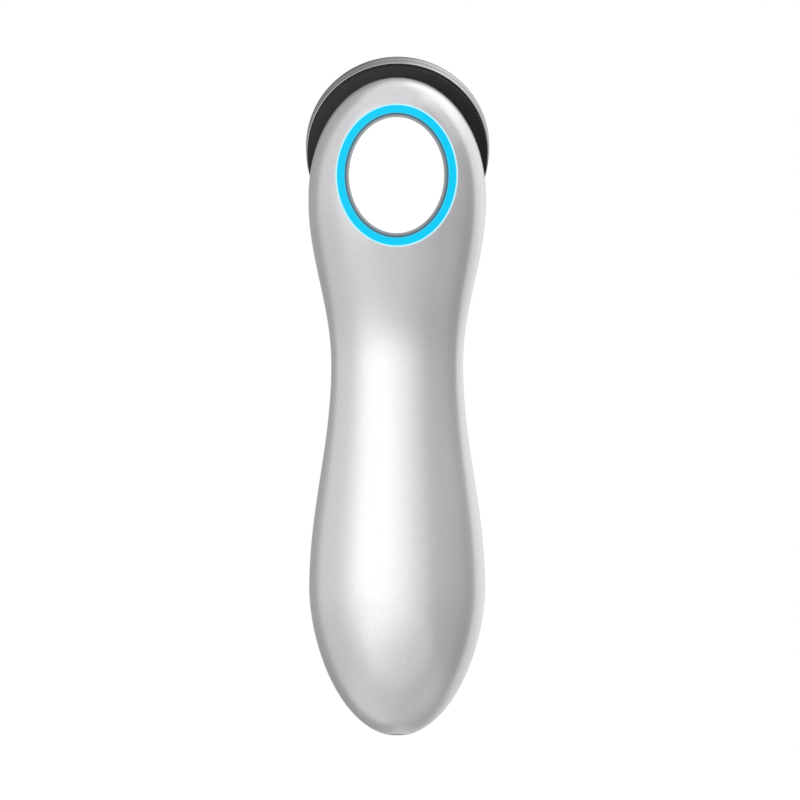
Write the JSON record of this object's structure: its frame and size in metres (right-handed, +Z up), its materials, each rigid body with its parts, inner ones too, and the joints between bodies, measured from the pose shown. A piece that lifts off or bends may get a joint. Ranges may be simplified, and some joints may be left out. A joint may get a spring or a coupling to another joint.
{
  "type": "facial toning device",
  "caption": "Hand-held facial toning device: smooth waisted handle, oval push-button in a lit ring on the front, tilted round electrode head with lights on the back.",
  "frame": {"origin": "centre of the charging socket's mouth at the tip of the tail, on the handle's axis", "axes": "+Z up the handle from the tail to the crown, -Y out of the front with the button, +Y out of the back towards the treatment head, +X to the right when the front is seen"},
  "size_m": [0.0518, 0.0488, 0.1902],
  "materials": {
    "pearl_shell": "pearl silver paint on moulded plastic, semi-gloss",
    "ring_glow": "light guide, clear tinted plastic with a polished edge, lit from behind",
    "cap_white": "white translucent plastic, satin, lit from behind",
    "black_satin": "moulded black plastic, fine satin",
    "dark_moulding": "moulded dark grey plastic",
    "switch_body": "small black switch housing",
    "spring_steel": "drawn spring wire",
    "circuit_board": "green solder mask on glass-fibre board",
    "led_white": "small moulded light source",
    "led_red": "clear red domed light source",
    "chip_black": "moulded black package",
    "coil_ferrite": "ferrite bobbin with copper winding",
    "can_grey": "capacitor can",
    "screw_steel": "zinc-plated screw",
    "cell_can": "metal can in a blue sleeve",
    "contact_nickel": "plated contact strip",
    "lead_red": "flexible insulation",
    "lead_black": "flexible insulation",
    "lead_white": "flexible insulation and connector",
    "socket_black": "moulded socket",
    "seal_rubber": "soft silicone seal",
    "polished_chrome": "polished plating with fine turned lines",
    "reflector_white": "bright white moulded reflector",
    "clear_lens": "clear lens",
    "insulator_black": "thin insulating bush",
    "nut_brass": "plain turned nut"
  },
  "bodies": {
    "handle": {"front_casing": "pearl_shell", "rear_casing": "pearl_shell", "light_ring": "ring_glow", "return_springs": "spring_steel", "button_switch": "switch_body", "main_board": "circuit_board", "ring_leds": "led_white", "cap_leds": "led_white", "controller_chip": "chip_black", "boost_coil": "coil_ferrite", "board_capacitors": "can_grey", "board_screws": "screw_steel", "battery_cell": "cell_can", "battery_cradle": "dark_moulding", "battery_contacts": "contact_nickel", "cradle_screws": "screw_steel", "battery_leads": "lead_red", "charging_socket": "socket_black", "socket_seal": "seal_rubber", "charging_board": "circuit_board", "charging_board_screws": "screw_steel", "charging_leads": "lead_black", "head_collar": "black_satin", "collar_seal": "seal_rubber", "collar_screws": "screw_steel", "electrode_ring": "polished_chrome", "led_board": "circuit_board", "treatment_leds": "led_red", "led_reflector": "reflector_white", "treatment_lens": "clear_lens", "contact_plate": "polished_chrome", "plate_insulator": "insulator_black", "plate_nut": "nut_brass", "head_lead": "lead_white"},
    "button": {"power_button": "cap_white", "switch_plunger": "dark_moulding"}
  },
  "joints": [
    {"name": "button_press", "type": "slide", "parent": "handle", "child": "button", "axis": [0, 1, 0], "range_m": [0, 0.0008], "stiffness_N_per_m": 1000, "springref_m": -0.0008, "deforming": ["return_springs"]}
  ]
}
